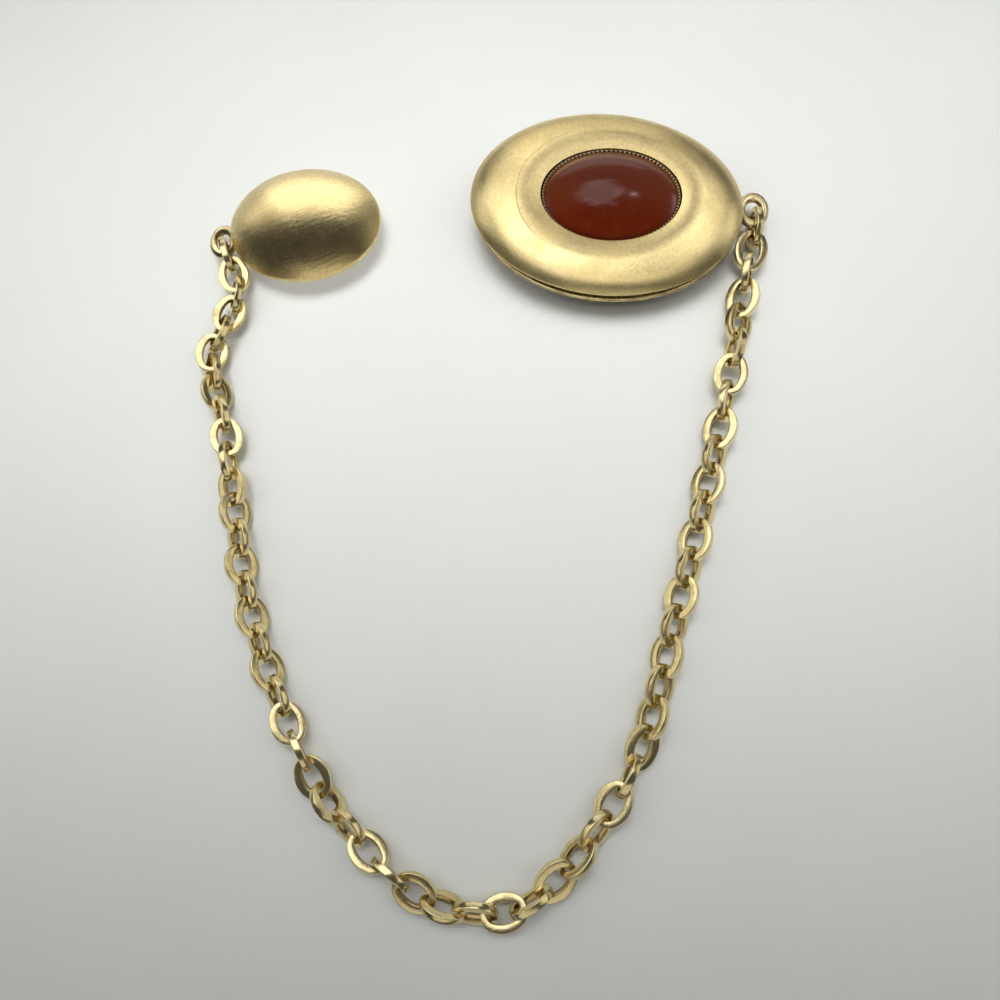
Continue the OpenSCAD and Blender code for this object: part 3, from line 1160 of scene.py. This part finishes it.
# The soft boxes of the studio, by what they shine on.
STUDIO: dict[Lit, tuple[SoftBox, ...]] = {
    Lit.TABLE: (
        SoftBox(0, 75, (300, 160), 0.84, away=330, aim_y=50, spread=50, passes=Lit.SMALL),
        *(SoftBox(turn, 45, (300, 300), 1.7, passes=Lit.SMALL) for turn in (-80, 80)),
        SoftBox(0, 70, (400, 300), 1.1, away=500, aim_y=450, spread=60, passes=Lit.SMALL),
    ),
    Lit.SMALL: (
        SoftBox(-8, 34, (570, 520), 1.95),
        SoftBox(52, 20, (150, 200), 0.3),
        SoftBox(-58, 20, (170, 220), 1.1),
        SoftBox(85, 15, (260, 150), 0.7),
        SoftBox(175, 14, (540, 170), 1.1, CANDLE),
    ),
    Lit.LARGE: (
        SoftBox(-68, 65, (210, 180), 2.9),
        SoftBox(-42, 45, (140, 160), 1.8),
        SoftBox(-12, 46, (130, 230), 2.1),
        SoftBox(0, 89.9, (180, 180), 2.4),
        SoftBox(72, 56, (220, 240), 1.5),
        SoftBox(75, 22, (200, 130), 1.5),
        SoftBox(42, 46, (150, 220), 1.6),
        SoftBox(0, 18, (340, 190), 0.88, WARM),
        SoftBox(-65, 26, (240, 200), 1.0),
        SoftBox(-130, 58, (300, 240), 1.2),
        SoftBox(130, 52, (240, 180), 0.9, WARM),
        SoftBox(2, 31, (260, 60), 0.7, WARM),
        SoftBox(180, 60, (260, 190), 0.95, WARM),
        SoftBox(180, 12, (440, 100), 1.0, WARM),
    ),
    Lit.STONE: (
        SoftBox(-16, 70, (285, 285), 0.95, PALE_ROSE),
        SoftBox(-7, 52, (250, 24), 1.2, ROSE),
        SoftBox(-53, 57, (60, 60), 1.2, ROSE),
        SoftBox(-73, 67, (22, 110), 2.6, ROSE),
        SoftBox(-98, 78, (22, 110), 2.6, ROSE),
        SoftBox(120, 87, (22, 110), 1.8, ROSE),
        SoftBox(36, 67, (34, 150), 1.1, ROSE),
        SoftBox(57.8, 60, (24, 48), 9.0, ROSE),
        SoftBox(0, 10, (440, 120), 0.45, PALE_ROSE),
        *(SoftBox(turn, 10, (420, 120), 1.2, PALE_ROSE) for turn in (85, -85)),
        SoftBox(180, 10, (420, 120), 1.5, PALE_ROSE),
    ),
    Lit.CHAIN: (
        SoftBox(-20, 64, (480, 330), 1.6),
        SoftBox(0, 18, (520, 190), 0.9),
        *(SoftBox(turn, 32, (380, 300), 0.8, AMBER) for turn in (-88, 88)),
        SoftBox(180, 34, (440, 300), 0.6, AMBER),
    ),
}


@dataclass
class Stage:
    """The pale table, the soft light and the camera that looks down on the piece."""

    table_size: float = 3000.0
    lens: float = 27.04
    camera_at: Place = (16.92, -26.22, 130.0)
    tilt: float = 11.0
    side: float = 5.6
    film: float = 36.0
    dim: float = 0.06

    def table(self) -> None:
        """Lays the pale matt table."""
        sheet = Sheet("pale_table")
        dust = sheet.group(GROUPS.specks(), sheet.millimetres, Scale=0.12, Size=0.035, Share=0.5)
        patches = sheet.group(GROUPS.clouds(), sheet.millimetres, Scale=0.02, Low=0.3, High=0.7)
        colour = sheet.blend(patches, (0.775, 0.79, 0.755), (0.795, 0.81, 0.775))
        colour = sheet.blend(sheet.maths("MULTIPLY", dust, 0.25), colour, (0.4, 0.4, 0.4))
        sheet.feed(sheet.shader, {"Base Color": colour, "Roughness": 0.55, "Specular IOR Level": 0.3})
        bm = bmesh.new()
        bmesh.ops.create_grid(bm, x_segments=4, y_segments=4, size=self.table_size / 2)
        bmesh.ops.translate(bm, vec=(0, 0, -0.02), verts=bm.verts)
        as_piece(bm, "table", sheet.material)

    def camera(self) -> None:
        """Sets the camera over the piece as the photograph was taken."""
        side, tilt = math.radians(self.side), math.radians(self.tilt)
        down = Vector((math.sin(side), math.cos(side) * math.sin(tilt), math.cos(side) * math.cos(tilt)))
        across = Vector((1, 0, 0)) - down * down.x
        across.normalize()
        away = -down.cross(across)
        lens = bpy.data.cameras.new("camera")
        lens.lens, lens.sensor_width = self.lens, self.film
        lens.clip_start, lens.clip_end = 0.005, 10.0
        rig = bpy.data.objects.new("camera", lens)
        # Rows of the camera's right, up and backward directions in the part's frame.
        rig.matrix_world = Matrix((
            (across.x, -across.y, -across.z, self.camera_at[0] * MM),
            (away.x, -away.y, -away.z, self.camera_at[1] * MM),
            (-down.x, down.y, down.z, self.camera_at[2] * MM),
            (0, 0, 0, 1)))
        bpy.context.scene.collection.objects.link(rig)
        bpy.context.scene.camera = rig

    def surroundings(self) -> None:
        """Sets the dim even surroundings."""
        world = bpy.data.worlds.new("room")
        bpy.context.scene.world = world
        world.use_nodes = True
        ground = world.node_tree.nodes["Background"]
        ground.inputs["Color"].default_value = (self.dim, self.dim, self.dim, 1.0)

    def build(self) -> None:
        """Builds the stage round the finished pieces."""
        self.camera()
        self.table()
        self.surroundings()
        for lit, boxes in STUDIO.items():
            for box in boxes:
                box.hang(lit)
        bpy.context.scene.view_settings.view_transform = "Standard"


def main() -> None:
    """Loads the frame and builds every sub-assembly on it."""
    logging.basicConfig(level=logging.INFO, format="%(message)s")
    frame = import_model()
    nodes = frame["nodes"]
    dark = DARK_GOLD.material()
    large_satin = SatinGold("satin_gold_large", LARGE_AT).material()
    small_satin = SatinGold("satin_gold_small", SMALL_AT, brush_turn=22.0, brush_depth=0.06,
                            lines_show=0.6, roughness=(0.26, 0.38)).material()
    LargeBrooch(nodes, large_satin, dark, Carnelian().material()).build()
    SmallBrooch(nodes, small_satin, dark).build()
    Chain(nodes, POLISHED_GOLD.material()).build()
    Stage().build()


if __name__ == "__main__":
    main()
